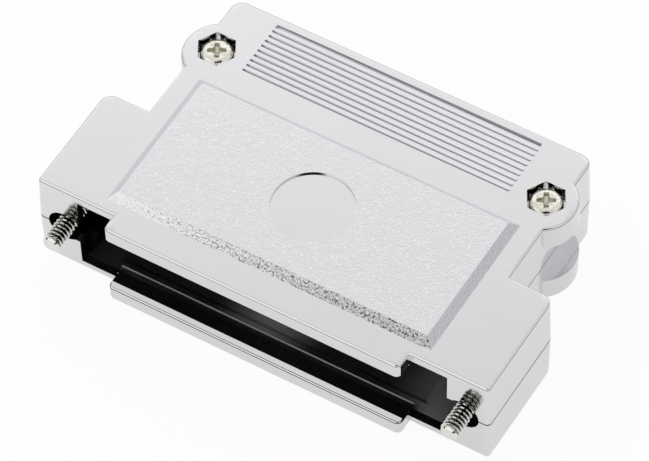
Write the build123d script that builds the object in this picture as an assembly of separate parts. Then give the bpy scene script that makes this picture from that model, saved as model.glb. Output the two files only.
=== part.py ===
from build123d import *
import os
from math import cos, radians

# Two-part hood for a 37-way D-sub connector, in millimetres.
# X runs along the connector's mouth, Y runs back towards the cable, and Z is up.
# The origin is midway between the jackscrews, on the ears' front plane and the parting plane.

# Connector that the hood takes, after the standard sizes of a 37-way shell
jackscrew_spacing = 63.5
flange_width = 69.3
flange_height = 12.5
flange_thickness = 1.2
flange_play = 0.25
connector_body_width = 57.3
connector_body_depth = 6.25
connector_body_play = 0.35

# Hood outside
skin = 1.35
ear_wall = 1.1
ear_depth = 18.3
body_width = 58.0
body_wall = 1.6
hood_depth = 41.8
front_wall = 1.4
ear_rear_wall = 1.4
rear_corner_radius = 2.0
ear_corner_radius = 2.0
front_corner_radius = 0.7
draft_angle = 1.3
edge_radius = 0.45
seam_chamfer = 0.12

# Mouth and lips
mouth_width = 58.8
lip_width = 47.0
lip_reach = 2.6
lip_opening = 10.6
lip_corner_radius = 0.9
lip_edge_radius = 0.3

# Raised panel with its plain disc, and the recess behind it
panel_width = 51.4
panel_depth = 24.35
panel_front = 2.1
panel_rise = 1.2
panel_slope = 45.0
panel_edge_radius = 0.12
recess_inset = 0.9
disc_diameter = 12.0
disc_recess = 0.3

# Ribbed grip
grip_width = 42.9
grip_from_rear = 1.65
grip_pitch = 1.0
grip_grooves = 10
groove_width = 0.42
rear_groove_width = 0.65
groove_depth = 0.38
groove_slant = 12.0

# Side lugs round the assembly screws
lug_radius = 5.6
lug_spacing = 51.4
lug_from_rear = 9.95
lug_gap = 7.5

# Assembly screws and nuts
screw_spacing = 53.0
screw_from_rear = 9.55
screw_diameter = 2.5
screw_tip_chamfer = 0.3
screw_head_diameter = 4.5
screw_head_height = 1.7
screw_head_radius = 0.9
cross_width = 0.75
cross_length = 2.7
cross_depth = 1.0
cross_slant = 8.0
cross_turn = 29.0
nut_width = 5.0
nut_thickness = 2.0
nut_chamfer = 0.25
thread_play = 0.02
pocket_play = 0.15
pocket_depth = 2.3
pocket_wall = 1.0
screw_hole_play = 0.1
column_wall = 1.05

# Jackscrews and the clips that keep them in the hood
jackscrew_diameter = 2.84
jackscrew_reach = 3.8
jackscrew_head_recess = 0.7
jackscrew_tip_chamfer = 0.35
jackscrew_shank_diameter = 2.3
jackscrew_head_diameter = 5.0
jackscrew_head_length = 2.4
jackscrew_head_chamfer = 0.3
jackscrew_slot_width = 0.8
jackscrew_slot_depth = 1.1
jackscrew_travel = 2.0
stop_play = 0.3
stop_thickness = 1.35
ear_hole_diameter = 5.2
ear_slot_height = 4.1
stop_hole_play = 0.25
access_hole_play = 0.35
clip_diameter = 4.6
clip_thickness = 0.7
clip_mouth = 1.5
clip_groove_depth = 0.2
clip_behind_thread = 0.15
clip_play = 0.05

# Locating pins between the shells
pin_diameter = 1.8
pin_height = 1.6
pin_chamfer = 0.3
pin_play = 0.1
pin_from_front = 21.5
pin_inset = 1.4
pin_post_wall = 1.1

# Low ribs behind the ends of the connector's flange
flange_rib_height = 2.0
flange_rib_thickness = 1.35

# Cable exit and clamp
cable_diameter = 8.0
cable_exit_diameter = 12.0
clamp_end = 4.0
clamp_thickness = 5.4
clamp_gap = 0.5
clamp_corner_radius = 0.6
clamp_screw_spacing = 18.0
clamp_seat_depth = 2.1
clamp_groove_depth = 0.5
clamp_groove_width = 0.8
clamp_groove_pitch = 2.4
head_play = 0.25
pad_height = 0.6
pad_width = 0.8
fence_thickness = 1.0
fence_height = 3.0
fence_play = 0.1
cable_play = 1.0

# Hood sizes worked out from the ones above
inner_half_height = flange_height / 2 + flange_play
half_height = inner_half_height + skin
ear_inner_half_width = flange_width / 2 + flange_play
ear_half_width = ear_inner_half_width + ear_wall
ear_inner_rear = ear_depth - ear_rear_wall
body_half_width = body_width / 2
body_inner_half_width = body_half_width - body_wall
body_inner_rear = hood_depth - body_wall
connector_half_width = connector_body_width / 2 + connector_body_play
slot_rear = front_wall + flange_thickness + flange_play
connector_rear = slot_rear + connector_body_depth + flange_play
panel_centre_y = panel_front + panel_depth / 2
panel_top = half_height + panel_rise
lug_y = hood_depth - lug_from_rear
lug_x = lug_spacing / 2
pin_x = body_inner_half_width - pin_inset

# Screw and nut sizes worked out
screw_x = screw_spacing / 2
screw_y = hood_depth - screw_from_rear
screw_hole_radius = screw_diameter / 2 + screw_hole_play
column_radius = screw_hole_radius + column_wall
nut_corner_radius = nut_width / 2 / cos(radians(30))
pocket_corner_radius = (nut_width / 2 + pocket_play) / cos(radians(30))
pocket_floor = half_height - pocket_depth

# Jackscrew sizes worked out
jackscrew_x = jackscrew_spacing / 2
jackscrew_radius = jackscrew_diameter / 2
shank_radius = jackscrew_shank_diameter / 2
clip_groove_radius = shank_radius - clip_groove_depth
stop_hole_radius = shank_radius + stop_hole_play
access_radius = jackscrew_head_diameter / 2 + access_hole_play
head_rear = ear_depth - jackscrew_head_recess
head_front = head_rear - jackscrew_head_length
stop_rear = head_front - jackscrew_travel - stop_play
stop_front = stop_rear - stop_thickness
clip_rear = stop_front - stop_play - jackscrew_travel
clip_front = clip_rear - clip_thickness
thread_rear = clip_front - clip_behind_thread

# Clamp sizes worked out
cable_radius = cable_diameter / 2
clamp_width = clamp_screw_spacing + 2 * clamp_end
clamp_top = inner_half_height - pad_height
clamp_rear = body_inner_rear - fence_play
clamp_front = clamp_rear - clamp_thickness
clamp_y = (clamp_front + clamp_rear) / 2
clamp_screw_x = clamp_screw_spacing / 2
clamp_seat = clamp_top - clamp_seat_depth


def box(x, y, z):
    """Box between the two limits given for each axis."""
    size = (x[1] - x[0], y[1] - y[0], z[1] - z[0])
    return Pos(x[0], y[0], z[0]) * Box(*size, align=(Align.MIN, Align.MIN, Align.MIN))


def rod_z(radius, x, y, z):
    """Upright cylinder between two heights."""
    upright = Cylinder(radius, z[1] - z[0], align=(Align.CENTER, Align.CENTER, Align.MIN))
    return Pos(x, y, z[0]) * upright


def rod_y(radius, x, y):
    """Cylinder along Y on the parting plane, between two distances from the front."""
    upright = Cylinder(radius, y[1] - y[0], align=(Align.CENTER, Align.CENTER, Align.MIN))
    return Pos(x, y[0], 0) * Rot(-90, 0, 0) * upright


def hexagon(corner_radius, x, y, z):
    """Six-sided prism between two heights, with two of its corners along X."""
    return Pos(x, y, z[0]) * extrude(RegularPolygon(corner_radius, 6), amount=z[1] - z[0])


def outline(half_width, front, rear):
    """Rectangle seen from above, with square corners."""
    return Pos(0, (front + rear) / 2) * Rectangle(2 * half_width, rear - front)


def outside():
    """Skin of one half, still solid: ears, body, lip and side lugs."""
    ears = outline(ear_half_width, 0, ear_depth)
    ears = fillet(ears.vertices().group_by(Axis.Y)[-1], ear_corner_radius)
    ears = fillet(ears.vertices().group_by(Axis.Y)[0], front_corner_radius)
    body = outline(body_half_width, ear_depth / 2, hood_depth)
    body = fillet(body.vertices().group_by(Axis.Y)[-1], rear_corner_radius)
    solid = Part()
    for shape in (ears, body):
        block = extrude(shape, amount=half_height - seam_chamfer, taper=draft_angle)
        block = Pos(0, 0, seam_chamfer) * fillet(block.edges().group_by(Axis.Z)[-1], edge_radius)
        solid += block + extrude(offset(shape, -seam_chamfer), amount=seam_chamfer, taper=-45)
    lip = outline(lip_width / 2, -lip_reach, front_wall)
    lip = fillet(lip.vertices().group_by(Axis.Y)[0], lip_corner_radius)
    lip = extrude(lip, amount=half_height - lip_opening / 2)
    for level, radius in ((0, lip_edge_radius), (-1, edge_radius)):
        lip = fillet(lip.edges().group_by(Axis.Z)[level].filter_by_position(Axis.Y, -lip_reach, 0), radius)
    solid += Pos(0, 0, lip_opening / 2) * lip
    lug = extrude(Circle(lug_radius), amount=half_height - lug_gap / 2, taper=draft_angle)
    lug = fillet(lug.edges().group_by(Axis.Z)[-1], edge_radius)
    for side in (-1, 1):
        solid += Pos(side * lug_x, lug_y, lug_gap / 2) * lug
    return solid


def panel():
    """Raised panel with sloping edges and a plain round recess in the middle."""
    raised = extrude(Rectangle(panel_width, panel_depth), amount=panel_rise, taper=panel_slope)
    raised = Pos(0, panel_centre_y, half_height) * raised
    raised = fillet(raised.faces().sort_by(Axis.Z)[-1].outer_wire().edges(), panel_edge_radius)
    disc = rod_z(disc_diameter / 2, 0, panel_centre_y, (panel_top - disc_recess, panel_top + 1))
    return raised - disc


def grip():
    """Grooves of the ribbed grip, to be cut out; the rearmost is the widest."""
    grooves = Sketch()
    for row in range(grip_grooves):
        width = groove_width if row else rear_groove_width
        middle = hood_depth - grip_from_rear - row * grip_pitch - width / 2
        grooves += Pos(0, middle) * SlotOverall(grip_width, width)
    cut = mirror(extrude(grooves, amount=groove_depth, taper=groove_slant), about=Plane.XY)
    return Pos(0, 0, half_height) * cut


def cavity():
    """Hollow of one half, before the columns, posts and fences are left standing in it."""
    depth = (-1, inner_half_height)
    mouth = (-mouth_width / 2, mouth_width / 2)
    hollow = box(mouth, (-lip_reach - 1, front_wall), (-1, lip_opening / 2))
    flange = (-ear_inner_half_width, ear_inner_half_width)
    hollow += box(flange, (front_wall, slot_rear), depth)
    connector = (-connector_half_width, connector_half_width)
    hollow += box(connector, (slot_rear, connector_rear), depth)
    inside = (-body_inner_half_width, body_inner_half_width)
    hollow += box(inside, (connector_rear, body_inner_rear), depth)
    recess = Rectangle(panel_width - 2 * recess_inset, panel_depth - 2 * recess_inset)
    recess = extrude(recess, amount=panel_rise, taper=panel_slope)
    hollow += Pos(0, panel_centre_y, inner_half_height) * recess
    hollow += rod_y(cable_exit_diameter / 2, 0, (body_inner_rear - 1, hood_depth + 1))
    for side in (-1, 1):
        beside_lip = sorted((side * lip_width / 2, side * mouth_width / 2))
        hollow += box(beside_lip, (-1, front_wall), depth)
        chamber = sorted((side * connector_half_width, side * ear_inner_half_width))
        hollow += box(chamber, (slot_rear, stop_front), depth)
        hollow += box(chamber, (stop_rear, ear_inner_rear), depth)
        slot = sorted((side * mouth_width / 2, side * jackscrew_x))
        hollow += box(slot, (-1, front_wall), (-1, ear_slot_height / 2))
        hollow += rod_y(ear_hole_diameter / 2, side * jackscrew_x, (-1, front_wall))
        hollow += rod_y(stop_hole_radius, side * jackscrew_x, (stop_front, stop_rear))
        hollow += rod_y(access_radius, side * jackscrew_x, (ear_inner_rear, ear_depth + 1))
    return hollow


def clamp_frame():
    """Fences in front of the cable clamp and beside it, and the two pads it lies on."""
    x = clamp_width / 2 + fence_play
    y = clamp_front - fence_play
    low = inner_half_height - fence_height
    frame = box(
        (-x - fence_thickness, x + fence_thickness),
        (y - fence_thickness, body_inner_rear + 1),
        (low, panel_top),
    )
    frame -= box((-x, x), (y, body_inner_rear + 2), (0, panel_top + 1))
    frame -= rod_y(cable_radius + cable_play, 0, (y - fence_thickness - 1, y + 1))
    for middle in (clamp_front + pad_width, clamp_rear - pad_width):
        frame += box((-x, x), (middle - pad_width / 2, middle + pad_width / 2), (clamp_top, panel_top))
    return frame


def standing_features():
    """Everything that is left standing in the hollow of one half."""
    features = clamp_frame()
    for side in (-1, 1):
        pad_radius = pocket_corner_radius + pocket_wall
        pad_bottom = pocket_floor - pocket_wall
        features += rod_z(column_radius, side * screw_x, screw_y, (0, panel_top))
        features += rod_z(pad_radius, side * screw_x, screw_y, (pad_bottom, panel_top))
        features += rod_z(pin_diameter / 2 + pin_post_wall, side * pin_x, pin_from_front, (0, panel_top))
        rib = sorted((side * connector_half_width, side * (ear_inner_half_width + 1)))
        rib_bottom = inner_half_height - flange_rib_height
        features += box(rib, (slot_rear, slot_rear + flange_rib_thickness), (rib_bottom, panel_top))
    return features


def half_shell(with_pins):
    """One moulded half, built with its outside up and its parting face on the parting plane."""
    solid = outside() + panel() - (cavity() - standing_features()) - grip()
    for side in (-1, 1):
        x = side * screw_x
        solid -= hexagon(pocket_corner_radius, x, screw_y, (pocket_floor, panel_top))
        solid -= rod_z(screw_hole_radius, x, screw_y, (-1, panel_top))
        pin = side * pin_x
        if with_pins:
            peg = rod_z(pin_diameter / 2, pin, pin_from_front, (-pin_height, 1))
            solid += chamfer(peg.edges().group_by(Axis.Z)[0], pin_chamfer)
        else:
            hole_radius = pin_diameter / 2 + pin_play
            solid -= rod_z(hole_radius, pin, pin_from_front, (-1, pin_height + 2 * pin_play))
    return solid


def pan_screw(x, y, seat, tip):
    """Cross-recessed screw, from the top of its rounded head down to its tip."""
    head = rod_z(screw_head_diameter / 2, x, y, (seat, seat + screw_head_height))
    head = fillet(head.edges().group_by(Axis.Z)[-1], screw_head_radius)
    thread = rod_z(screw_diameter / 2, x, y, (tip, seat))
    thread = chamfer(thread.edges().group_by(Axis.Z)[0], screw_tip_chamfer)
    cross = Rectangle(cross_length, cross_width) + Rectangle(cross_width, cross_length)
    recess = Rot(180, 0, 0) * extrude(cross, amount=cross_depth, taper=cross_slant)
    recess = Rot(0, 0, cross_turn) * recess
    return head + thread - Pos(x, y, seat + screw_head_height) * recess


def nut(x, y, low):
    """Hexagon nut with its corners taken off."""
    high = low + nut_thickness
    blank = rod_z(nut_corner_radius, x, y, (low, high))
    blank = chamfer(blank.edges().filter_by(GeomType.CIRCLE), nut_chamfer)
    solid = blank & hexagon(nut_corner_radius, x, y, (low, high))
    return solid - rod_z(screw_diameter / 2 + thread_play, x, y, (low - 1, high + 1))


def jackscrew(x):
    """Jackscrew with its thread to the front and its slotted head to the rear."""
    thread = rod_y(jackscrew_radius, x, (-jackscrew_reach, thread_rear))
    thread = chamfer(thread.edges().group_by(Axis.Y)[0], jackscrew_tip_chamfer)
    head_radius = jackscrew_head_diameter / 2
    head = rod_y(head_radius, x, (head_front, head_rear))
    head = chamfer(head.edges().filter_by(GeomType.CIRCLE), jackscrew_head_chamfer)
    solid = thread + rod_y(shank_radius, x, (thread_rear, head_front)) + head
    groove = (clip_front - clip_play, clip_rear + clip_play)
    solid -= rod_y(jackscrew_radius, x, groove) - rod_y(clip_groove_radius, x, groove)
    slot = (x - jackscrew_slot_width / 2, x + jackscrew_slot_width / 2)
    return solid - box(slot, (head_rear - jackscrew_slot_depth, head_rear + 1), (-head_radius, head_radius))


def retaining_clip(x):
    """Open ring that snaps into the jackscrew's groove."""
    y = (clip_front, clip_rear)
    ring = rod_y(clip_diameter / 2, x, y) - rod_y(clip_groove_radius + clip_play, x, y)
    return ring - box((x - clip_mouth / 2, x + clip_mouth / 2), y, (-clip_diameter / 2, 0))


def clamp_bar():
    """Upper bar of the cable clamp, with its notch, the notch's gripping grooves and screw holes."""
    bar = box((-clamp_width / 2, clamp_width / 2), (clamp_front, clamp_rear), (clamp_gap / 2, clamp_top))
    bar = fillet(bar.edges().filter_by(Axis.Z), clamp_corner_radius)
    bar -= rod_y(cable_radius, 0, (clamp_front - 1, clamp_rear + 1))
    for middle in (clamp_y - clamp_groove_pitch / 2, clamp_y + clamp_groove_pitch / 2):
        groove = (middle - clamp_groove_width / 2, middle + clamp_groove_width / 2)
        bar -= rod_y(cable_radius + clamp_groove_depth, 0, groove)
    for side in (-1, 1):
        bar -= rod_z(screw_hole_radius, side * clamp_screw_x, clamp_y, (0, clamp_top + 1))
    return bar


def clamp_half(upper):
    """Bar of the cable clamp with its screw seats above, or with its nut pockets below."""
    bar = clamp_bar()
    top = clamp_top + 1
    for side in (-1, 1):
        x = side * clamp_screw_x
        if upper:
            bar -= rod_z(screw_head_diameter / 2 + head_play, x, clamp_y, (clamp_seat, top))
        else:
            bar -= hexagon(pocket_corner_radius, x, clamp_y, (clamp_seat, top))
    return bar if upper else mirror(bar, about=Plane.XY)


parts = {
    "top_shell": half_shell(False),
    "bottom_shell": mirror(half_shell(True), about=Plane.XY),
    "cable_clamp_upper": clamp_half(True),
    "cable_clamp_lower": clamp_half(False),
}
for name, side in (("left", -1), ("right", 1)):
    parts[f"jackscrew_{name}"] = jackscrew(side * jackscrew_x)
    parts[f"retaining_clip_{name}"] = retaining_clip(side * jackscrew_x)
    screw_tip = -pocket_floor - nut_thickness
    parts[f"assembly_screw_{name}"] = pan_screw(side * screw_x, screw_y, pocket_floor, screw_tip)
    parts[f"assembly_nut_{name}"] = nut(side * screw_x, screw_y, -pocket_floor - nut_thickness)
    clamp_tip = -clamp_seat - nut_thickness
    parts[f"clamp_screw_{name}"] = pan_screw(side * clamp_screw_x, clamp_y, clamp_seat, clamp_tip)
    parts[f"clamp_nut_{name}"] = nut(side * clamp_screw_x, clamp_y, -clamp_seat - nut_thickness)

os.makedirs("parts", exist_ok=True)
for name, part in parts.items():
    export_step(part, f"parts/{name}.step")
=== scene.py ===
"""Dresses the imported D-sub hood: metallised shells, threaded screws, studio and camera."""

import logging
import math
from dataclasses import dataclass, field
from enum import Enum

import bpy
import numpy as np
from mathutils import Matrix, Vector


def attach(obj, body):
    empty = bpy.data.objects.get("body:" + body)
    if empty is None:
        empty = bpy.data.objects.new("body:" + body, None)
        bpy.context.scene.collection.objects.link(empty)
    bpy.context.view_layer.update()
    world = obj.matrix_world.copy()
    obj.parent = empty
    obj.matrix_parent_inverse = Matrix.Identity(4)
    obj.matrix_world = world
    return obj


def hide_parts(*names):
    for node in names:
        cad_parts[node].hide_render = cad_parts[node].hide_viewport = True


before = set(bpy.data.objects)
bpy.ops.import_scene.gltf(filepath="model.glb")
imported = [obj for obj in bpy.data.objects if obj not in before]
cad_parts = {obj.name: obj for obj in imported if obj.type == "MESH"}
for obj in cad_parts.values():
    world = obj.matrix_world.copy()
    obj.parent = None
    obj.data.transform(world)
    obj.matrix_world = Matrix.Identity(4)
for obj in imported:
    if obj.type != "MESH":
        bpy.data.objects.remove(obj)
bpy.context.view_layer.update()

log = logging.getLogger("hood")

Array = np.ndarray
Colour = tuple[float, float, float, float]
Place = tuple[float, float, float]
Material = bpy.types.Material
Tree = bpy.types.NodeTree
Socket = bpy.types.NodeSocket

MM = 0.001
WHITE = "FFFFFF"

# Distances in mm that count as none: between merged corners, from a corner to the plane of a
# cut, from a corner to a line on the surface, and, closely and roughly, between places.
MERGED = 0.0002
ON_PLANE = 0.002
ON_LINE = 0.004
HAIR = 0.01
NEAR = 0.05

# How far a face leans a certain way, as a cosine, when it counts as turned that way.
TURNED = 0.3
HALF_TURNED = 0.5
END_ON = 0.7
LEVEL = 0.99

# Detail of the noise that mottles and pits a finish, and the mottle's values at both glosses.
MOTTLE_DETAIL = 3.0
PIT_DETAIL = 1.0
MOTTLE_LOW = 0.3
MOTTLE_HIGH = 0.7

# The textures grow from left to right over this half width of the raised panel, in mm.
GRADED_HALF_WIDTH = 24.0


class Face(Enum):
    """Kinds of surface on a shell, in the order of its material slots."""

    PLATED = 0
    TEXTURED = 1
    SLOPE = 2
    BARE = 3
    COAT_AND_SHEEN = 4
    EDGE = 5
    GROOVE = 6
    RIDGE = 7
    SIDE_SLOPE = 8


Layer = tuple[Array, Face]


def linear(hex_colour: str) -> Colour:
    """Turns an sRGB hex colour into linear RGBA.

    Args:
        hex_colour: six hex digits.

    Returns:
        Linear red, green, blue and an alpha of 1.
    """
    srgb = np.array([int(hex_colour[i:i + 2], 16) for i in (0, 2, 4)]) / 255
    rgb = np.where(srgb <= 0.04045, srgb / 12.92, ((srgb + 0.055) / 1.055) ** 2.4)
    return (float(rgb[0]), float(rgb[1]), float(rgb[2]), 1.0)


def add_node(
    tree: Tree,
    kind: str,
    inputs: dict[int | str, object] | None = None,
    **settings: object,
) -> bpy.types.Node:
    """Adds a node, sets its properties, and fills or links its inputs.

    Args:
        tree: node tree that gets the node.
        kind: Blender's name of the node type.
        inputs: socket names or numbers, each with a value or a socket to link from.
        **settings: properties of the node.

    Returns:
        The new node.
    """
    node = tree.nodes.new(kind)
    for name, value in settings.items():
        setattr(node, name, value)
    for key, value in (inputs or {}).items():
        if isinstance(value, bpy.types.NodeSocket):
            tree.links.new(value, node.inputs[key])
        else:
            node.inputs[key].default_value = value
    return node


def blend(tree: Tree, share: Socket, low: Socket | Colour, high: Socket | Colour) -> Socket:
    """Mixes two colours by a share from 0 to 1."""
    mix = add_node(tree, "ShaderNodeMix", {0: share, 6: low, 7: high}, data_type="RGBA")
    return mix.outputs[2]


def calculate(tree: Tree, operation: str, *values: float | Socket, **settings: object) -> Socket:
    """Adds a math node over its values and gives its result."""
    inputs = dict(enumerate(values))
    return add_node(tree, "ShaderNodeMath", inputs, operation=operation, **settings).outputs[0]


def ramp(
    tree: Tree,
    value: Socket,
    start: float | Socket,
    end: float | Socket,
    first: float | Socket = 0.0,
    last: float | Socket = 1.0,
    **settings: object,
) -> Socket:
    """Maps a value from start and end to first and last, and holds it there past the ends."""
    inputs = {0: value, 1: start, 2: end, 3: first, 4: last}
    return add_node(tree, "ShaderNodeMapRange", inputs, **settings).outputs[0]


def grain(tree: Tree, place: Socket, size_mm: float, detail: float) -> Socket:
    """Noise whose grains have a real size."""
    inputs = {"Vector": place, "Scale": 1 / (size_mm * MM), "Detail": detail}
    return add_node(tree, "ShaderNodeTexNoise", inputs).outputs[0]


def graded(tree: Tree, along: Socket, left_share: float) -> Socket:
    """A share that grows along X to 1 at the right of the raised panel."""
    half = GRADED_HALF_WIDTH * MM
    return ramp(tree, along, -half, half, left_share, 1.0)


def lean(tree: Tree, direction: Socket, towards: Place) -> Socket:
    """How far a direction leans towards another one, as a cosine."""
    pair = {0: direction, 1: towards}
    return add_node(tree, "ShaderNodeVectorMath", pair, operation="DOT_PRODUCT").outputs["Value"]


def empty_tree(owner: Material | bpy.types.World) -> Tree:
    """Switches nodes on and removes those that are there from the start.

    Args:
        owner: the material or world.

    Returns:
        Its empty node tree.
    """
    owner.use_nodes = True
    owner.node_tree.nodes.clear()
    return owner.node_tree


@dataclass(frozen=True)
class Relief:
    """One layer of surface relief: noise of a real grain size and height, shallower to the left."""

    grain_mm: float
    height_mm: float
    detail: float = 2.0
    left_share: float = 1.0

    def bump(self, tree: Tree, place: Socket, along: Socket, below: Socket | None) -> Socket:
        """Adds the layer to the relief below it.

        Args:
            tree: the material's node tree.
            place: position on the piece.
            along: its X.
            below: normal of the layer below, if there is one.

        Returns:
            The normal with this layer.
        """
        height = grain(tree, place, self.grain_mm, self.detail)
        inputs = {"Height": height, "Distance": self.height_mm * MM}
        if self.left_share < 1:
            inputs["Strength"] = graded(tree, along, self.left_share)
        if below is not None:
            inputs["Normal"] = below
        return add_node(tree, "ShaderNodeBump", inputs).outputs[0]


@dataclass(frozen=True)
class PaintedGlints:
    """Painted glints and dark specks: single lighter or darker points of a real size, fainter to
    the left.
    """

    grain_mm: float
    colour: str
    above: float
    soft: float = 0.04
    left_share: float = 1.0

    def over(self, tree: Tree, place: Socket, along: Socket, colour: Socket) -> Socket:
        """Paints the peaks of its own noise in its colour, as glints or dark specks.

        Args:
            tree: the material's node tree.
            place: position on the piece.
            along: its X.
            colour: colour of the finish without the painted points.

        Returns:
            The colour with it.
        """
        pits = grain(tree, place, self.grain_mm, PIT_DETAIL)
        peaks = ramp(tree, pits, self.above, self.above + self.soft)
        amount = calculate(tree, "MULTIPLY", peaks, graded(tree, along, self.left_share))
        return blend(tree, amount, colour, linear(self.colour))


@dataclass(frozen=True)
class PaintedSheen:
    """A painted sheen: a lighter stretch along X that stands in for light reaching in through the
    mouth.
    """

    x_mm: float
    reach_mm: float
    colour: str

    def over(self, tree: Tree, along: Socket, colour: Socket) -> Socket:
        """Lightens a colour towards the middle of the painted sheen.

        Args:
            tree: the material's node tree.
            along: X on the piece.
            colour: colour of the finish without the painted sheen.

        Returns:
            The colour with it.
        """
        away = calculate(tree, "ABSOLUTE", calculate(tree, "SUBTRACT", along, self.x_mm * MM))
        reach = self.reach_mm * MM
        amount = ramp(tree, away, 0.0, reach, 1.0, 0.0, interpolation_type="SMOOTHSTEP")
        return blend(tree, amount, colour, linear(self.colour))


@dataclass(frozen=True)
class Finish:
    """A surface finish: its colours, gloss and relief, turned into a procedural material."""

    name: str
    colour: str
    shade: str
    metallic: float
    roughness: float
    smear: float
    mottle_mm: float
    reliefs: tuple[Relief, ...] = ()
    # The last three paint light: shade in the piece's hollows, glints and specks, and sheen.
    hollow_shade_colour: str = ""
    painted_glints: PaintedGlints | None = None
    painted_sheens: tuple[PaintedSheen, ...] = ()

    def build(self) -> Material:
        """Makes the material.

        The colour wanders between two near tones and the roughness by the smear. Painted glints,
        painted sheen and painted shade in the piece's own hollows change the colour in places. Each
        relief layer adds to the bump.

        Returns:
            The new material.
        """
        material = bpy.data.materials.new(self.name)
        tree = empty_tree(material)
        place = add_node(tree, "ShaderNodeTexCoord").outputs["Object"]
        along = add_node(tree, "ShaderNodeSeparateXYZ", {0: place}).outputs[0]
        mottle = grain(tree, place, self.mottle_mm, MOTTLE_DETAIL)
        colour = blend(tree, mottle, linear(self.colour), linear(self.shade))
        # Painted glints: lighter or darker points on the peaks of their own noise.
        if self.painted_glints:
            colour = self.painted_glints.over(tree, place, along, colour)
        # Painted sheen: lighter stretches along X.
        for sheen_patch in self.painted_sheens:
            colour = sheen_patch.over(tree, along, colour)
        # Painted shade, darker deeper in the piece's own hollows.
        if self.hollow_shade_colour:
            hollow = add_node(tree, "ShaderNodeAttribute", attribute_name="hollow").outputs["Fac"]
            colour = blend(tree, hollow, colour, linear(self.hollow_shade_colour))
        clean, smeared = max(self.roughness - self.smear, 0.0), self.roughness + self.smear
        gloss = ramp(tree, mottle, MOTTLE_LOW, MOTTLE_HIGH, clean, smeared)
        inputs = {"Base Color": colour, "Roughness": gloss}
        shader = add_node(tree, "ShaderNodeBsdfPrincipled", inputs)
        shader.inputs["Metallic"].default_value = self.metallic
        normal = None
        for relief in self.reliefs:
            normal = relief.bump(tree, place, along, normal)
        if normal is not None:
            tree.links.new(normal, shader.inputs["Normal"])
        add_node(tree, "ShaderNodeOutputMaterial", {"Surface": shader.outputs[0]})
        return material


# Vacuum-metallised ABS, polished tool face: a mirror coat that keeps the moulding's faint ripple.
PLATING = Finish("metallised_abs_polished", "DEDEDF", "E2E2E4", 1.0, 0.08, 0.02, 14.0,
                 (Relief(7.0, 0.012),))
# The same coat over a spark-eroded tool face: each pit tilts the mirror, so the panel glitters;
# white points are painted glints.
PLATING_TEXTURED = Finish("metallised_abs_eroded", "DEDEE0", "E4E4E6", 1.0, 0.16, 0.03, 0.8,
                          (Relief(0.24, 0.021, 2.0, 0.35), Relief(0.9, 0.012)),
                          painted_glints=PaintedGlints(0.24, "F6F6F7", 0.63))
# The front slope carries the coarse side of the same erosion, seen as black and white specks; dark
# points add painted dark reflections.
PLATING_SLOPE = Finish("metallised_abs_eroded_slope", "DADADC", "E6E6E8", 1.0, 0.06, 0.02, 0.6,
                       (Relief(0.36, 0.30, 3.0, 0.27),),
                       painted_glints=PaintedGlints(0.34, "2A2A2C", 0.57, 0.06, 0.12))
# On the side slopes the erosion is fine and dull: a soft mottling, darker and cooler than the top
# as a painted reflection.
PLATING_SIDE_SLOPE = Finish("metallised_abs_eroded_side_painted_cool_reflection", "D0D0D6", "DDDDE1", 1.0, 0.24, 0.04,
                            0.45, (Relief(0.4, 0.03),))
# The grip's ridges and the lugs' ledges, rubbed a little dull, with a cool cast beside the polished
# top that is a painted reflection.
PLATING_RIDGE_PAINTED_COOL = Finish("metallised_abs_ridge_painted_cool_reflection", "DEDEE4", "E4E4EA", 1.0, 0.14, 0.02, 6.0)
# The polished coat at the feet and walls of the grooves and in the parting seam, darkened with
# painted shade.
PLATING_GROOVE_SHADED = Finish("metallised_abs_groove_painted_shade", "84848B", "96969D", 1.0, 0.2, 0.04, 0.8)
# Bare glossy black ABS inside, where the coating doesn't reach.
BARE_PLASTIC = Finish("bare_black_abs", "0F0E0F", "171617", 0.0, 0.26, 0.06, 3.0,
                      (Relief(5.0, 0.02),))
# A breath of the coating that came in through the mouth, grey on the black plastic, lighter still
# with painted sheen in two stretches along X.
THIN_COAT_AND_SHEEN = Finish("thin_metal_mist_and_painted_sheen_on_abs", "303032", "464649", 0.35, 0.42, 0.06, 6.0,
              (Relief(5.0, 0.02),),
              painted_sheens=(PaintedSheen(-1.5, 9.0, "C8C8CC"), PaintedSheen(25.0, 8.0, "9C9CA0")))
# The same thin coat on an edge that faces the mouth, lightened as a painted highlight.
THIN_COAT_EDGE_HIGHLIGHT = Finish("metal_mist_and_painted_highlight_on_edge", "6C6C6D", "88888B", 1.0, 0.42, 0.05, 4.0)
# Bright nickel over steel: warm, with fine driver marks, and darker in the cross recess as painted
# shade.
SCREW_NICKEL = Finish("bright_nickel_screw", "E2DFD4", "F4F2E9", 1.0, 0.11, 0.04, 0.9,
                      (Relief(0.9, 0.14), Relief(0.3, 0.02)), hollow_shade_colour="D2CFC2")
# Rolled thread with nickel over it, darkened in its roots with painted shade.
JACKSCREW_NICKEL = Finish("nickel_rolled_thread", "DAD9D3", "F0EFEA", 1.0, 0.06, 0.02, 0.7,
                          (Relief(0.35, 0.02),), hollow_shade_colour="12120F")
# Blued spring steel, blanked from strip.
SPRING_STEEL = Finish("spring_steel_strip", "8C8B89", "A5A4A1", 1.0, 0.28, 0.06, 1.0,
                      (Relief(0.2, 0.01),))
# Glass-filled nylon, moulded black and slightly dull.
NYLON = Finish("glass_filled_nylon", "161617", "202021", 0.0, 0.48, 0.06, 1.2,
               (Relief(0.3, 0.03),))


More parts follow.
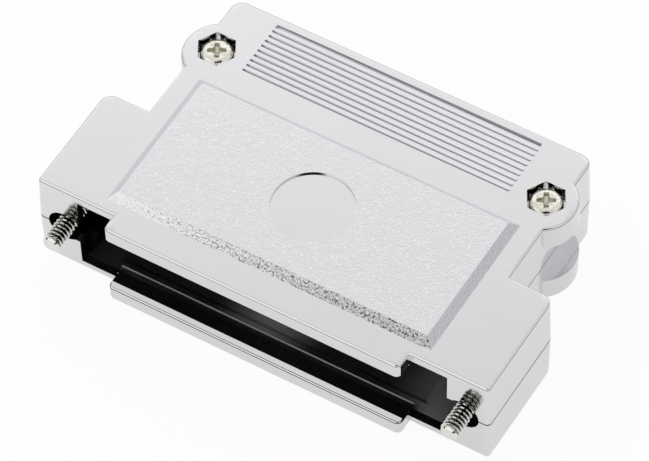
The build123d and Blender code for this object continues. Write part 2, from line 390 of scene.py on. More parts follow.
def node_arrays(node: str) -> tuple[Array, Array]:
    """Reads a CAD node's triangles with their shared corners merged.

    Args:
        node: name of the CAD node.

    Returns:
        Corner positions in metres, and three corner numbers for each triangle.
    """
    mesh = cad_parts[node].data
    points = np.zeros(len(mesh.vertices) * 3, np.float32)
    mesh.vertices.foreach_get("co", points)
    corners = np.zeros(len(mesh.loops), np.int32)
    mesh.loops.foreach_get("vertex_index", corners)
    grid = np.round(points.reshape(-1, 3).astype(float) / (MERGED * MM)).astype(np.int64)
    _, first, merged = np.unique(grid, axis=0, return_index=True, return_inverse=True)
    triangles = merged.reshape(-1)[corners].reshape(-1, 3)
    distinct = (
        (triangles[:, 0] != triangles[:, 1])
        & (triangles[:, 1] != triangles[:, 2])
        & (triangles[:, 2] != triangles[:, 0])
    )
    return points.reshape(-1, 3)[first].astype(float), triangles[distinct]


def cut_across(points: Array, triangles: Array, axis: int, at: float) -> tuple[Array, Array]:
    """Splits each triangle that crosses a plane, so that a finish can end on the plane.

    A crossing edge gets one new corner where its straight line meets the plane, and both
    triangles of the edge use that corner, so the surface stays closed.

    Args:
        points: corner positions in metres.
        triangles: corner numbers of each triangle.
        axis: 0, 1 or 2 for a plane across X, Y or Z.
        at: where the plane lies, in metres.

    Returns:
        The new corner positions and triangles.
    """
    side = points[:, axis] - at
    side[np.abs(side) < ON_PLANE * MM] = 0.0
    sign = np.sign(side)[triangles]
    whole = (sign.min(1) >= 0) | (sign.max(1) <= 0)
    kept, crossing = triangles[whole], triangles[~whole]
    sign = sign[~whole]
    through = (sign == 0).any(1)
    alone = np.argmin(sign * sign.sum(1, keepdims=True), 1)
    lone = np.where(through, np.argmax(sign == 0, 1), alone)
    first, second, third = (crossing[np.arange(len(crossing)), (lone + turn) % 3]
                            for turn in range(3))

    edges = np.concatenate((
        np.stack((first, second), 1)[~through],
        np.stack((first, third), 1)[~through],
        np.stack((second, third), 1)[through],
    ))
    ends, number = np.unique(np.sort(edges, 1), axis=0, return_inverse=True)
    low, high = ends[:, 0], ends[:, 1]
    share = side[low] / (side[low] - side[high])
    added = points[low] + share[:, None] * (points[high] - points[low])
    number = number.reshape(-1) + len(points)
    count = int((~through).sum())
    near, far, middle = number[:count], number[count:2 * count], number[2 * count:]
    one, two, three = first[~through], second[~through], third[~through]
    parts = [
        kept,
        np.stack((one, near, far), 1),
        np.stack((near, two, three), 1),
        np.stack((near, three, far), 1),
    ]
    one, two, three = first[through], second[through], third[through]
    parts += [np.stack((one, two, middle), 1), np.stack((one, middle, three), 1)]
    return np.concatenate((points, added)), np.concatenate(parts)


def make_piece(
    name: str,
    points: Array,
    faces: list | Array,
    finishes: list[Material],
    smooth_to: float = 32.0,
    kinds: Array | None = None,
    hollow: Array | None = None,
) -> bpy.types.Object:
    """Makes a mesh object that is smooth up to an edge angle and crisp past it.

    Args:
        name: name of the piece.
        points: corner positions in metres.
        faces: corner numbers of each face.
        finishes: the materials, in slot order.
        smooth_to: edges up to this many degrees are shaded smooth.
        kinds: material slot of each face; all 0 if left out.
        hollow: how deep in a recess each corner lies, from 0 to 1, which drives painted shade.

    Returns:
        The new object, at the origin.
    """
    mesh = bpy.data.meshes.new(name)
    mesh.from_pydata(points.tolist(), [], [list(map(int, face)) for face in faces])
    for finish in finishes:
        mesh.materials.append(finish)
    if kinds is not None:
        mesh.polygons.foreach_set("material_index", kinds.astype(np.int32))
    if hollow is not None:
        shares = mesh.attributes.new("hollow", "FLOAT", "POINT").data
        shares.foreach_set("value", hollow.astype(np.float32))
    mesh.shade_smooth()
    mesh.set_sharp_from_angle(angle=math.radians(smooth_to))
    mesh.update()
    piece = bpy.data.objects.new(name, mesh)
    bpy.context.scene.collection.objects.link(piece)
    weighted = piece.modifiers.new("flat_faces_stay_flat", "WEIGHTED_NORMAL")
    weighted.keep_sharp = True
    weighted.weight = 100
    return piece


def ring_loft(rings: Array) -> tuple[Array, list]:
    """Closes a stack of rings into a solid, with a centre point on each end.

    Args:
        rings: positions, as rings by columns by 3. The rings run so that faces point outwards.

    Returns:
        Corner positions, and the faces: quads along the stack and triangles at its poles.
    """
    count, columns = rings.shape[:2]
    poles = np.stack((rings[0].mean(0), rings[-1].mean(0)))
    points = np.concatenate((rings.reshape(-1, 3), poles))
    column = np.arange(columns)
    following = (column + 1) % columns
    row = (np.arange(count - 1) * columns)[:, None]
    above = row + columns
    quads = np.stack((row + column, row + following, above + following, above + column), -1)
    last = (count - 1) * columns
    first_pole, last_pole = count * columns, count * columns + 1
    start = np.stack((following, column, np.full(columns, first_pole)), -1)
    end = np.stack((last + column, last + following, np.full(columns, last_pole)), -1)
    return points, quads.reshape(-1, 4).tolist() + start.tolist() + end.tolist()


def smooth_copy(node: str, body: str, finish: Material) -> None:
    """Stands a merged, smoothly shaded copy in for a CAD node.

    Args:
        node: name of the CAD node.
        body: name of the body it rides on.
        finish: the material.
    """
    points, triangles = node_arrays(node)
    piece = make_piece(f"{node}_finished", points, triangles, [finish])
    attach(piece, body)
    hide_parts(node)
    log.info("%s: %d triangles", piece.name, len(triangles))


@dataclass
class Thread:
    """A rolled thread with a pointed profile, run out at a cone on its tip, in mm."""

    crest: float
    depth: float
    pitch: float
    tip_cone: float
    rows_per_pitch: int = 10
    flank: float = 1.3
    crest_flat: float = 0.12

    def radii(self, height: Array, angle: Array, tip: float) -> Array:
        """Radius over the thread's surface.

        The radius falls from the crest to the root and back once a pitch, as a triangle wave of
        height over pitch less a turn of angle, with its peaks cut flat. It stays in the cone at
        the tip.

        Args:
            height: height along the axis, in mm.
            angle: angle round the axis, in radians.
            tip: height of the tip, in mm.

        Returns:
            Radii in mm, for the two arrays broadcast together.
        """
        phase = (height / self.pitch - angle / (2 * math.pi)) % 1.0
        wave = np.clip(np.abs(2 * phase - 1) * self.flank - self.crest_flat, 0.0, 1.0)
        cone = self.crest - self.tip_cone + (height - tip)
        return np.minimum(self.crest - self.depth * wave, cone)

    def surface(self, tip: float, end: float, columns: int) -> tuple[Array, Array, Array]:
        """Lays the thread out in rows along its axis and columns round it.

        Args:
            tip: height of the tip, in mm.
            end: height of the other end, in mm.
            columns: number of columns.

        Returns:
            Radii by row and column, heights by row and angles by column.
        """
        rows = int((end - tip) / self.pitch * self.rows_per_pitch)
        height = np.linspace(tip, end, rows)[:, None]
        angle = np.linspace(0, 2 * math.pi, columns, endpoint=False)[None, :]
        return self.radii(height, angle, tip), height, angle


@dataclass(frozen=True)
class Facets:
    """Where a shell's triangles lie, in mm, and how they face, alike for both halves.

    Height is counted from the seam. Outward and sideways say how far a triangle faces away from
    the seam and out of the hood's outline, and depth how far it lies outside the outline.
    """

    x: Array
    y: Array
    height: Array
    normal: Array
    outward: Array
    sideways: Array
    depth: Array


@dataclass
class Shells:
    """The two moulded halves, metallised outside and bare black inside, in mm."""

    body_half_width: float = 29.0
    body_rear: float = 41.8
    body_corner: float = 2.0
    ear_half_width: float = 36.0
    ear_rear: float = 18.3
    wall_depth: float = 0.8
    rim: float = 7.85
    rim_band: float = 0.5
    rim_lean: float = 0.05
    recess_band: float = 0.1
    panel_top: float = 9.05
    panel_skin: float = 0.02
    panel_lean: float = 0.1
    panel_half_width: float = 25.7
    panel_front: float = 2.1
    panel_rear: float = 26.45
    disc_radius: float = 6.0
    disc_edge: float = 0.1
    lug_radius: float = 5.6
    lug_x: float = 25.7
    lug_y: float = 31.85
    lug_inset: float = 0.3
    lug_margin: float = 1.0
    lug_gap: float = 7.5
    ledge_lean: float = 0.9
    pocket_x: float = 26.5
    pocket_y: float = 32.25
    pocket_radius: float = 3.2
    pocket_floor: float = 5.55
    lip_opening: float = 10.6
    lip_half_width: float = 23.5
    lip_band: float = 0.1
    lip_lean: float = 0.85
    # Places along Y and the floor's rise there, in the lip and at the front wall's rear edge.
    lip_rise: tuple[tuple[float, float], ...] = (
        (-2.2, 0.04), (-1.62, 0.27), (-1.4, 0.0), (0.6, 0.0), (1.22, 0.18), (1.4, 0.3)
    )
    mouth_half_width: float = 29.4
    coat_and_sheen_to: float = 14.0
    grip_half_width: float = 21.45
    grip_rear: float = 40.15
    grip_pitch: float = 1.0
    grip_grooves: int = 10
    ridge_band: float = 0.2
    foot_band: float = 0.6
    groove_band: float = 0.7
    groove_round: float = 0.14
    rear_groove_width: float = 0.65
    seam: float = 0.12

    @property
    def grip_front(self) -> float:
        """Where the grip's first groove begins, in mm."""
        return self.grip_rear - self.grip_grooves * self.grip_pitch

    def outline_depth(self, x: Array, y: Array) -> Array:
        """Distance outside the hood's outline seen from above, negative inside it.

        The outline is the nearest of three shapes: the ears' rectangle, the body's rectangle
        with round corners, and the two lugs' circles.

        Args:
            x: positions along the mouth, in mm.
            y: positions back from the front, in mm.

        Returns:
            The signed distances in mm.
        """
        middle = self.ear_rear / 2
        ear_x, ear_y = np.abs(x) - self.ear_half_width, np.abs(y - middle) - middle
        ears = np.hypot(np.maximum(ear_x, 0), np.maximum(ear_y, 0))
        ears += np.minimum(np.maximum(ear_x, ear_y), 0)
        reach = self.body_rear / 2
        body_x = np.abs(x) - self.body_half_width + self.body_corner
        body_y = np.abs(y - reach) - reach + self.body_corner
        body = np.hypot(np.maximum(body_x, 0), np.maximum(body_y, 0)) - self.body_corner
        body += np.minimum(np.maximum(body_x, body_y), 0)
        lugs = np.hypot(np.abs(x) - self.lug_x, y - self.lug_y) - self.lug_radius
        return np.minimum(np.minimum(ears, body), lugs)

    def facets(self, points: Array, triangles: Array) -> Facets:
        """Measures where a shell's triangles lie and how they face.

        Args:
            points: corner positions in metres.
            triangles: corner numbers of each triangle.

        Returns:
            The measures of all triangles.
        """
        corners = points[triangles] / MM
        centre = corners.mean(1)
        normal = np.cross(corners[:, 1] - corners[:, 0], corners[:, 2] - corners[:, 0])
        normal /= np.maximum(np.linalg.norm(normal, axis=1, keepdims=True), 1e-12)
        x, y = centre[:, 0], centre[:, 1]
        away_x = self.outline_depth(x + HAIR, y) - self.outline_depth(x - HAIR, y)
        away_y = self.outline_depth(x, y + HAIR) - self.outline_depth(x, y - HAIR)
        length = np.maximum(np.hypot(away_x, away_y), 1e-9)
        return Facets(
            x=x,
            y=y,
            height=np.abs(centre[:, 2]),
            normal=normal,
            outward=normal[:, 2] * np.sign(centre[:, 2]),
            sideways=(normal[:, 0] * away_x + normal[:, 1] * away_y) / length,
            depth=self.outline_depth(x, y),
        )

    def outside_layers(self, at: Facets) -> list[Layer]:
        """The coated outside, and the lugs' ledges at the gap between them.

        Args:
            at: the shell's triangles.

        Returns:
            Layers, a later one over an earlier one.
        """
        lug_front = self.lug_y - self.lug_radius - self.lug_margin
        wall = (at.depth > -self.wall_depth) & (at.sideways > TURNED)
        top = (at.height > self.rim - self.rim_band) & (at.outward > -TURNED)
        top &= (at.outward > self.rim_lean) | (at.y > self.panel_front)
        lug = (np.abs(at.x) > self.body_half_width - self.lug_inset) & (at.y > lug_front)
        from_screw = np.hypot(np.abs(at.x) - self.pocket_x, at.y - self.pocket_y)
        pocket = (from_screw < self.pocket_radius) & (at.height > self.pocket_floor - NEAR)
        lip = (at.y < -HAIR) & (at.outward > -self.lip_lean)
        recess = (at.height < self.rim - self.recess_band) & (at.outward < -TURNED)
        coated = (wall | top | lug | pocket | lip) & ~recess
        coated |= lug & ~top & (at.height < self.rim)
        # The lugs' ledges take the ridge finish, lighter and cooler as a painted reflection.
        ledge = lug & (at.outward < -self.ledge_lean)
        ledge &= np.abs(at.height - self.lug_gap / 2) < NEAR
        return [(coated, Face.PLATED), (ledge, Face.RIDGE)]

    def panel_layers(self, at: Facets) -> list[Layer]:
        """The raised panel's eroded top and slopes, round the plain disc.

        Args:
            at: the shell's triangles.

        Returns:
            Layers, a later one over an earlier one.
        """
        panel = (np.abs(at.x) < self.panel_half_width) & (at.height > self.rim + HAIR)
        panel &= (at.y > self.panel_front) & (at.y < self.panel_rear)
        panel &= at.outward > self.panel_lean
        from_middle = np.hypot(at.x, at.y - (self.panel_front + self.panel_rear) / 2)
        panel &= from_middle > self.disc_radius - self.disc_edge
        skin = self.panel_top - self.panel_skin
        flat = panel & (at.height > skin) & (at.outward > LEVEL)
        slope = panel & (at.height < skin) & (at.outward < LEVEL)
        # The side slopes take a darker, cooler finish than the top: a painted reflection.
        return [
            (flat, Face.TEXTURED),
            (slope, Face.SIDE_SLOPE),
            (slope & (at.normal[:, 1] < -TURNED), Face.SLOPE),
        ]

    def mouth_layers(self, at: Facets) -> list[Layer]:
        """The coating that reaches into the mouth, thinner further in, with a painted highlight and
        painted sheen.

        Args:
            at: the shell's triangles.

        Returns:
            Layers, a later one over an earlier one.
        """
        coated_to, wall_edge, wall_rear = (self.lip_rise[line][0] for line in (1, -2, -1))
        floor = (at.outward < -HALF_TURNED) & (np.abs(at.x) < self.mouth_half_width)
        floor &= at.y < self.coat_and_sheen_to
        lip = floor & (at.height < self.lip_opening / 2 + self.lip_band)
        # Past the front wall's rear edge the floor takes the thin coat with painted sheen, and the
        # edge strip a painted highlight.
        return [
            (lip & (at.y < coated_to), Face.PLATED),
            (lip & (at.y > wall_edge) & (at.y < wall_rear), Face.EDGE),
            (floor & ~lip & (at.y > wall_rear), Face.COAT_AND_SHEEN),
        ]

    def grip_layers(self, at: Facets) -> list[Layer]:
        """The grip's ridges, and the feet and walls of its grooves darkened with painted shade.

        Args:
            at: the shell's triangles.

        Returns:
            Layers, a later one over an earlier one.
        """
        across = np.abs(at.x) < self.grip_half_width
        along = (at.y > self.grip_front) & (at.y < self.grip_rear)
        grip = across & along & (at.outward > HALF_TURNED)
        ridge = grip & (at.height > self.rim - self.ridge_band)
        foot = grip & (at.height < self.rim - self.ridge_band)
        foot &= at.height > self.rim - self.foot_band
        foot &= at.y < self.grip_rear - self.rear_groove_width
        rear_wall = across & (at.normal[:, 1] < -TURNED)
        rear_wall &= (at.y > self.grip_rear - NEAR) & (at.y < self.grip_rear + self.groove_round)
        end_wall = along & (np.abs(at.normal[:, 0]) > END_ON) & (at.height < self.rim)
        end_wall &= np.abs(np.abs(at.x) - self.grip_half_width) < NEAR
        walls = (rear_wall | end_wall) & (at.height > self.rim - self.groove_band)
        # The feet and walls of the grooves take painted shade, the ridges a painted cool
        # reflection.
        return [(foot | walls, Face.GROOVE), (ridge, Face.RIDGE)]

    def face_kinds(self, at: Facets) -> Array:
        """Says which finish each triangle of a shell has.

        Args:
            at: the shell's triangles.

        Returns:
            A Face number for each triangle.
        """
        kinds = np.full(len(at.x), Face.BARE.value)
        for mask, kind in self.outside_layers(at) + self.panel_layers(at):
            kinds[mask] = kind.value
        # The parting seam's chamfer takes the darker groove finish: a painted shade line.
        seam = (at.height < self.seam) & (at.outward < -TURNED) & (at.sideways > TURNED)
        kinds[seam & (kinds == Face.PLATED.value)] = Face.GROOVE.value
        for mask, kind in self.mouth_layers(at) + self.grip_layers(at):
            kinds[mask] = kind.value
        return kinds

    def worked_edges(self, points: Array, triangles: Array) -> tuple[Array, Array]:
        """Breaks the edges that the photograph shows as bright lines.

        The floor inside each lip rises by a few tenths of a millimetre along chosen lines, and
        the rear edge of each grip groove drops, so that a slope runs up from it to the land.

        Args:
            points: corner positions in metres.
            triangles: corner numbers of each triangle.

        Returns:
            The new corner positions and triangles.
        """
        for line, _ in (*self.lip_rise, (self.coat_and_sheen_to, 0.0)):
            points, triangles = cut_across(points, triangles, 1, line * MM)
        rear_edges = self.grip_rear - np.arange(self.grip_grooves) * self.grip_pitch
        for edge in rear_edges:
            points, triangles = cut_across(points, triangles, 1, (edge + self.groove_round) * MM)
        for side in (-1, 1):
            points, triangles = cut_across(points, triangles, 0, side * self.grip_half_width * MM)
        x, y, z = (points / MM).T
        height = np.abs(z)
        lip_floor = np.abs(height - self.lip_opening / 2) < ON_LINE
        lip_floor &= np.abs(x) < self.lip_half_width + HAIR
        lines, rises = np.array(self.lip_rise).T
        rise = np.where(lip_floor & (y > lines[0] - HAIR), np.interp(y, lines, rises), 0.0)
        on_edge = np.abs(y[:, None] - rear_edges[None, :]).min(1) < ON_LINE
        on_edge &= (np.abs(height - self.rim) < ON_LINE) & (np.abs(x) < self.grip_half_width)
        drop = np.where(on_edge, self.groove_round, 0.0)
        points[:, 2] -= np.sign(z) * (rise + drop) * MM
        return points, triangles

    def build(self, finishes: list[Material]) -> None:
        """Makes both shells and puts them on the hood.

        Args:
            finishes: the materials in the order of Face.
        """
        for half in ("top", "bottom"):
            points, triangles = node_arrays(f"{half}_shell")
            points, triangles = self.worked_edges(points, triangles)
            kinds = self.face_kinds(self.facets(points, triangles))
            piece = make_piece(f"{half}_half", points, triangles, finishes, kinds=kinds)
            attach(piece, "hood")
            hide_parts(f"{half}_shell")
            bare = int((kinds == Face.BARE.value).sum())
            log.info("%s: %d triangles, %d bare", piece.name, len(triangles), bare)


@dataclass
class Jackscrews:
    """The two floating jackscrews, threaded in front and slotted behind, in mm."""

    x: float = 31.75
    tip: float = -3.8
    thread_end: float = 8.4
    shank_radius: float = 1.15
    shade_free_tip: float = 0.5
    shade_fade_run: float = 0.25
    root_gain: float = 1.5
    root_start: float = 0.2
    columns: int = 72
    thread: Thread = field(default_factory=lambda: Thread(1.42, 0.40, 0.635, 0.35))

    def threaded_part(self, x: float) -> tuple[Array, list, Array]:
        """The threaded front: rings along Y whose radius follows the thread.

        Args:
            x: where the screw's axis lies, in mm.

        Returns:
            Corner positions in metres, faces, and how deep in the thread each corner lies, as a
            share of painted shade.
        """
        radius, height, angle = self.thread.surface(self.tip, self.thread_end, self.columns)
        radius[-1] = self.shank_radius
        along = np.broadcast_to(height, radius.shape)
        rings = np.stack((x + radius * np.cos(angle), along, -radius * np.sin(angle)), -1)
        # Painted shade share: darker towards the thread's roots, fading out at the tip.
        hollow = (self.thread.crest - radius) / self.thread.depth
        hollow = np.clip(hollow * self.root_gain - self.root_start, 0, 1)
        hollow *= np.clip((height - self.tip - self.shade_free_tip) / self.shade_fade_run, 0, 1)
        return *ring_loft(rings * MM), np.concatenate((hollow.reshape(-1), (0.0, 0.0)))

    def build(self, finish: Material) -> None:
        """Makes both jackscrews: the CAD node's shank and head behind a modelled thread.

        Args:
            finish: the material.
        """
        for name, side in (("left", -1), ("right", 1)):
            points, triangles = node_arrays(f"jackscrew_{name}")
            behind = points[triangles][:, :, 1].min(1) > (self.thread_end - HAIR) * MM
            front_points, front_faces, hollow = self.threaded_part(side * self.x)
            faces = front_faces + (triangles[behind] + len(front_points)).tolist()
            hollow = np.concatenate((hollow, np.zeros(len(points))))
            points = np.concatenate((front_points, points))
            piece = make_piece(f"jackscrew_{name}_threaded", points, faces, [finish], hollow=hollow)
            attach(piece, f"jackscrew_{name}")
            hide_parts(f"jackscrew_{name}")
            log.info("%s: %d faces", piece.name, len(faces))


@dataclass
class PanScrew:
    """A pan-head screw with a cross recess, standing on Z with its head up, in mm."""

    x: float
    y: float
    seat: float
    tip: float
    head_radius: float = 2.42
    head_height: float = 2.0
    head_round: float = 0.95
    head_inner: float = 0.02
    round_rows: int = 9
    flat_rows: int = 46
    cross_turn: float = 29.0
    cross_reach: float = 1.35
    cross_half_width: float = 0.36
    cross_depth: float = 1.0
    cross_side: float = 0.1
    cross_end: float = 0.2
    cross_fall: float = 0.45
    middle_radius: float = 0.75
    middle_side: float = 0.15
    middle_share: float = 0.8
    hollow_gain: float = 1.6
    smooth_to: float = 40.0
    columns: int = 112
    thread: Thread = field(default_factory=lambda: Thread(1.25, 0.24, 0.45, 0.3, 6))

    def arm(self, u: Array, v: Array) -> Array:
        """Share of the recess's depth in one arm, full along its middle and steep at its sides.

        Args:
            u: positions along the arm, in mm.
            v: positions across it, in mm.

        Returns:
            Shares from 0 to 1.
        """
        side = np.clip((self.cross_half_width - np.abs(v)) / self.cross_side, 0, 1)
        end = np.clip((self.cross_reach - np.abs(u)) / self.cross_end, 0, 1)
        floor = 1 - self.cross_fall * np.abs(u) / self.cross_reach
        return side * end * floor

    def recess(self, x: Array, y: Array) -> Array:
        """Depth of the cross recess: two crossing arms whose floors slope down to the middle.

        Args:
            x: positions on the head from its axis, in mm.
            y: the same across.

        Returns:
            Depth below the head's top in mm.
        """
        turn = math.radians(self.cross_turn)
        along = x * math.cos(turn) + y * math.sin(turn)
        across = y * math.cos(turn) - x * math.sin(turn)
        arms = np.maximum(self.arm(along, across), self.arm(across, along))
        middle = np.clip((self.middle_radius - np.hypot(x, y)) / self.middle_side, 0, 1)
        return self.cross_depth * np.maximum(arms, self.middle_share * middle)

    def head_profile(self) -> tuple[Array, Array]:
        """The head's outline, from its underside over the rounded edge to its middle.

        Returns:
            Radii and heights in mm. The first two are the side, the others can be recessed.
        """
        side_top = self.seat + self.head_height - self.head_round
        turn = np.linspace(0, math.pi / 2, self.round_rows)[1:]
        round_radius = self.head_radius - self.head_round * (1 - np.cos(turn))
        round_height = side_top + self.head_round * np.sin(turn)
        flat_radius = np.linspace(round_radius[-1], self.head_inner, self.flat_rows)[1:]
        flat_height = np.full(len(flat_radius), round_height[-1])
        radius = np.concatenate(([self.head_radius] * 2, round_radius, flat_radius))
        height = np.concatenate(([self.seat, side_top], round_height, flat_height))
        return radius, height

    def rings(self) -> tuple[Array, Array]:
        """The whole screw as rings: thread, underside, rounded head and recess.

        Returns:
            Ring positions in metres, and how deep in the cross each corner lies, as a share of
            painted shade.
        """
        shank, shank_height, angle = self.thread.surface(self.tip, self.seat, self.columns)
        shank[-1] = self.thread.crest
        head, head_height = (np.repeat(part[:, None], self.columns, 1)
                             for part in self.head_profile())
        cross = self.recess(head[2:] * np.cos(angle), head[2:] * np.sin(angle))
        head_height[2:] -= cross
        radius = np.concatenate((shank, head))
        height = np.concatenate((np.broadcast_to(shank_height, shank.shape), head_height))
        hollow = np.zeros(radius.shape)
        # Painted shade share: darker deeper in the cross recess.
        hollow[-len(cross):] = np.clip(cross / self.cross_depth * self.hollow_gain, 0, 1)
        x, y = self.x + radius * np.cos(angle), self.y + radius * np.sin(angle)
        return np.stack((x, y, height), -1) * MM, hollow

    def build(self, name: str, node: str, finish: Material) -> None:
        """Makes the screw and puts it on the hood in place of its CAD node.

        Args:
            name: name of the piece.
            node: name of the CAD node.
            finish: the material.
        """
        rings, hollow = self.rings()
        points, faces = ring_loft(rings)
        hollow = np.concatenate((hollow.reshape(-1), (0.0, self.middle_share)))
        piece = make_piece(name, points, faces, [finish], self.smooth_to, hollow=hollow)
        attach(piece, "hood")
        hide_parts(node)
        log.info("%s: %d faces", piece.name, len(faces))


@dataclass
class Fasteners:
    """The screws that close the hood and the cable clamp, and all their nuts, in mm."""

    assembly_x: float = 26.5
    assembly_y: float = 32.25
    assembly_seat: float = 5.55
    assembly_tip: float = -7.55
    clamp_x: float = 9.0
    clamp_y: float = 37.4
    clamp_seat: float = 3.8
    clamp_tip: float = -5.8

    def build(self, nickel: Material, steel: Material) -> None:
        """Makes the four screws, the four nuts and the two clips.

        Args:
            nickel: the material of the screws and nuts.
            steel: the material of the clips.
        """
        for name, side in (("left", -1), ("right", 1)):
            assembly = PanScrew(side * self.assembly_x, self.assembly_y,
                                self.assembly_seat, self.assembly_tip)
            assembly.build(f"assembly_screw_{name}_crossed", f"assembly_screw_{name}", nickel)
            clamp = PanScrew(side * self.clamp_x, self.clamp_y, self.clamp_seat, self.clamp_tip)
            clamp.build(f"clamp_screw_{name}_crossed", f"clamp_screw_{name}", nickel)
            smooth_copy(f"assembly_nut_{name}", "hood", nickel)
            smooth_copy(f"clamp_nut_{name}", "hood", nickel)
            smooth_copy(f"retaining_clip_{name}", f"clip_{name}", steel)


@dataclass
class Clamp:
    """The two moulded bars that hold the cable."""

    def build(self, finish: Material) -> None:
        """Makes both bars."""
        for half in ("upper", "lower"):
            smooth_copy(f"cable_clamp_{half}", "hood", finish)


@dataclass
class Studio:
    """White sheet, light tent, one soft box and the photograph's camera, in mm and degrees."""

    floor_height: float = -9.07
    floor_size: float = 420.0
    floor_colour: str = "F4F4F3"
    floor_glow: float = 0.94
    floor_glow_mirrored: float = 0.65
    azimuth: float = 32.3416
    elevation: float = 52.8078
    roll: float = -1.8612
    camera_at: Place = (238.861, -360.165, 588.906)
    lens: float = 296.4
    sensor: float = 36.0
    clip_start: float = 10.0
    clip_end: float = 20000.0
    tent: str = WHITE
    gap: str = "121214"
    gap_behind: str = "77777B"
    gap_height: float = 0.26
    gap_low: float = 0.2
    gap_full: float = 0.7
    gap_towards: Place = (0.35, -0.937, 0.0)
    gap_from: float = -0.35
    gap_to: float = 0.25
    dark: str = "060606"
    dark_inner: float = 14.0
    dark_outer: float = 26.0
    bright_towards: Place = (-0.466, 0.885, 0.0)
    bright_from: float = 0.56
    bright_to: float = 0.65
    front_strength: float = 0.80
    rear_strength: float = 1.12
    lamp_towards: Place = (-0.1, -0.99, 0.0)
    lamp_from: float = 0.2
    lamp_to: float = 0.5
    lamp_strength: float = 0.3
    box_at: Place = (-520.0, -60.0, 420.0)
    box_size: float = 520.0
    box_watts: float = 1.0

    def floor(self) -> None:
        """A white sheet that shows near white to the camera and keeps a faint shadow."""
        half, low = self.floor_size / 2 * MM, self.floor_height * MM
        corners = [(-half, -half, low), (half, -half, low), (half, half, low), (-half, half, low)]
        mesh = bpy.data.meshes.new("white_sheet")
        mesh.from_pydata(corners, [], [(0, 1, 2, 3)])
        sheet = bpy.data.objects.new("white_sheet", mesh)
        bpy.context.scene.collection.objects.link(sheet)
        material = bpy.data.materials.new("white_sheet")
        tree = empty_tree(material)
        matt = add_node(tree, "ShaderNodeBsdfDiffuse", {"Color": linear(self.floor_colour)})
        glow = add_node(tree, "ShaderNodeEmission", {"Color": linear(WHITE), "Strength": 1.0})
        path = add_node(tree, "ShaderNodeLightPath").outputs
        mirrored = calculate(tree, "MULTIPLY", path["Is Glossy Ray"], self.floor_glow_mirrored)
        share = calculate(tree, "MULTIPLY_ADD", path["Is Camera Ray"], self.floor_glow, mirrored,
                          use_clamp=True)
        inputs = {0: share, 1: matt.outputs[0], 2: glow.outputs[0]}
        both = add_node(tree, "ShaderNodeMixShader", inputs)
        add_node(tree, "ShaderNodeOutputMaterial", {"Surface": both.outputs[0]})
        mesh.materials.append(material)

    def tent_colour(self, tree: Tree, direction: Socket) -> Socket:
        """Colour of the tent: white, with a dark gap at its foot and dark round the camera.

        The gap is darkest and highest in front, where the hood's front slope mirrors it.

        Args:
            tree: the world's node tree.
            direction: where a ray goes.

        Returns:
            The colour that it meets.
        """
        height = add_node(tree, "ShaderNodeSeparateXYZ", {0: direction}).outputs[2]
        level = calculate(tree, "ABSOLUTE", height)
        ahead = lean(tree, direction, self.gap_towards)
        reach = ramp(tree, ahead, self.gap_from, self.gap_to, self.gap_low, self.gap_height)
        full = calculate(tree, "MULTIPLY", reach, self.gap_full)
        front = ramp(tree, ahead, self.gap_from, self.gap_to)
        shade = blend(tree, front, linear(self.gap_behind), linear(self.gap))
        gap = ramp(tree, level, full, reach, 1.0, 0.0)
        tone = blend(tree, gap, linear(self.tent), shade)
        facing = lean(tree, direction, tuple(Vector(self.camera_at).normalized()))
        outer, inner = (math.cos(math.radians(edge)) for edge in (self.dark_outer, self.dark_inner))
        return blend(tree, ramp(tree, facing, outer, inner), tone, linear(self.dark))

    def tent_strength(self, tree: Tree, direction: Socket) -> Socket:
        """Strength of the tent: brighter behind, with a low glow in front.

        Args:
            tree: the world's node tree.
            direction: where a ray goes.

        Returns:
            The strength that it meets.
        """
        rear = lean(tree, direction, self.bright_towards)
        strength = ramp(tree, rear, self.bright_from, self.bright_to,
                        self.front_strength, self.rear_strength)
        low = lean(tree, direction, self.lamp_towards)
        lamp = ramp(tree, low, self.lamp_from, self.lamp_to, 0.0, self.lamp_strength)
        return calculate(tree, "ADD", strength, lamp)

    def surroundings(self) -> None:
        """The light tent, which the camera itself sees as plain white."""
        world = bpy.data.worlds.new("light_tent")
        bpy.context.scene.world = world
        tree = empty_tree(world)
        direction = add_node(tree, "ShaderNodeTexCoord").outputs["Generated"]
        colour, strength = self.tent_colour(tree, direction), self.tent_strength(tree, direction)
        tent = add_node(tree, "ShaderNodeBackground", {"Color": colour, "Strength": strength})
        white = add_node(tree, "ShaderNodeBackground", {"Color": linear(WHITE), "Strength": 1.0})
        path = add_node(tree, "ShaderNodeLightPath").outputs
        inputs = {0: path["Is Camera Ray"], 1: tent.outputs[0], 2: white.outputs[0]}
        shown = add_node(tree, "ShaderNodeMixShader", inputs)
        add_node(tree, "ShaderNodeOutputWorld", {"Surface": shown.outputs[0]})

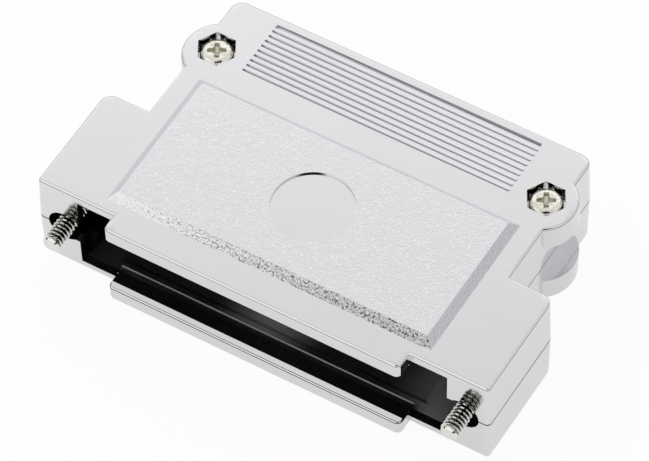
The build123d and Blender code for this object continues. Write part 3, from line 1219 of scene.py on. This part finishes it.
    def soft_box(self) -> None:
        """A square soft box on the left, aimed at the hood, that no mirror shows."""
        data = bpy.data.lights.new("soft_box_left", "AREA")
        data.size = self.box_size * MM
        data.energy = self.box_watts
        lamp = bpy.data.objects.new("soft_box_left", data)
        lamp.location = Vector(self.box_at) * MM
        lamp.rotation_euler = (-Vector(self.box_at)).to_track_quat("-Z", "Y").to_euler()
        lamp.visible_glossy = False
        bpy.context.scene.collection.objects.link(lamp)

    def camera(self) -> None:
        """The photograph's camera, from its azimuth, elevation, roll and place."""
        azimuth, elevation = math.radians(self.azimuth), math.radians(self.elevation)
        forward = Vector((-math.sin(azimuth) * math.cos(elevation),
                          math.cos(azimuth) * math.cos(elevation), -math.sin(elevation)))
        level = Vector((math.cos(azimuth), math.sin(azimuth), 0.0))
        above = level.cross(forward)
        roll = math.radians(self.roll)
        right = level * math.cos(roll) + above * math.sin(roll)
        upward = right.cross(forward)
        data = bpy.data.cameras.new("camera")
        data.sensor_width = self.sensor
        data.sensor_fit = "HORIZONTAL"
        data.lens = self.lens
        data.clip_start, data.clip_end = self.clip_start * MM, self.clip_end * MM
        camera = bpy.data.objects.new("camera", data)
        turn = Matrix((right, upward, -forward)).transposed()
        camera.matrix_world = Matrix.Translation(Vector(self.camera_at) * MM) @ turn.to_4x4()
        bpy.context.scene.collection.objects.link(camera)
        bpy.context.scene.camera = camera

    def build(self) -> None:
        """Sets up the sheet, the tent, the soft box, the camera and the plain view transform."""
        self.floor()
        self.surroundings()
        self.soft_box()
        self.camera()
        bpy.context.scene.view_settings.view_transform = "Standard"


def main() -> None:
    logging.basicConfig(level=logging.INFO, format="%(name)s: %(message)s")
    shell_finishes = (
        PLATING, PLATING_TEXTURED, PLATING_SLOPE, BARE_PLASTIC, THIN_COAT_AND_SHEEN, THIN_COAT_EDGE_HIGHLIGHT,
        PLATING_GROOVE_SHADED, PLATING_RIDGE_PAINTED_COOL, PLATING_SIDE_SLOPE,
    )
    Shells().build([finish.build() for finish in shell_finishes])
    Jackscrews().build(JACKSCREW_NICKEL.build())
    Fasteners().build(SCREW_NICKEL.build(), SPRING_STEEL.build())
    Clamp().build(NYLON.build())
    Studio().build()


if __name__ == "__main__":
    main()
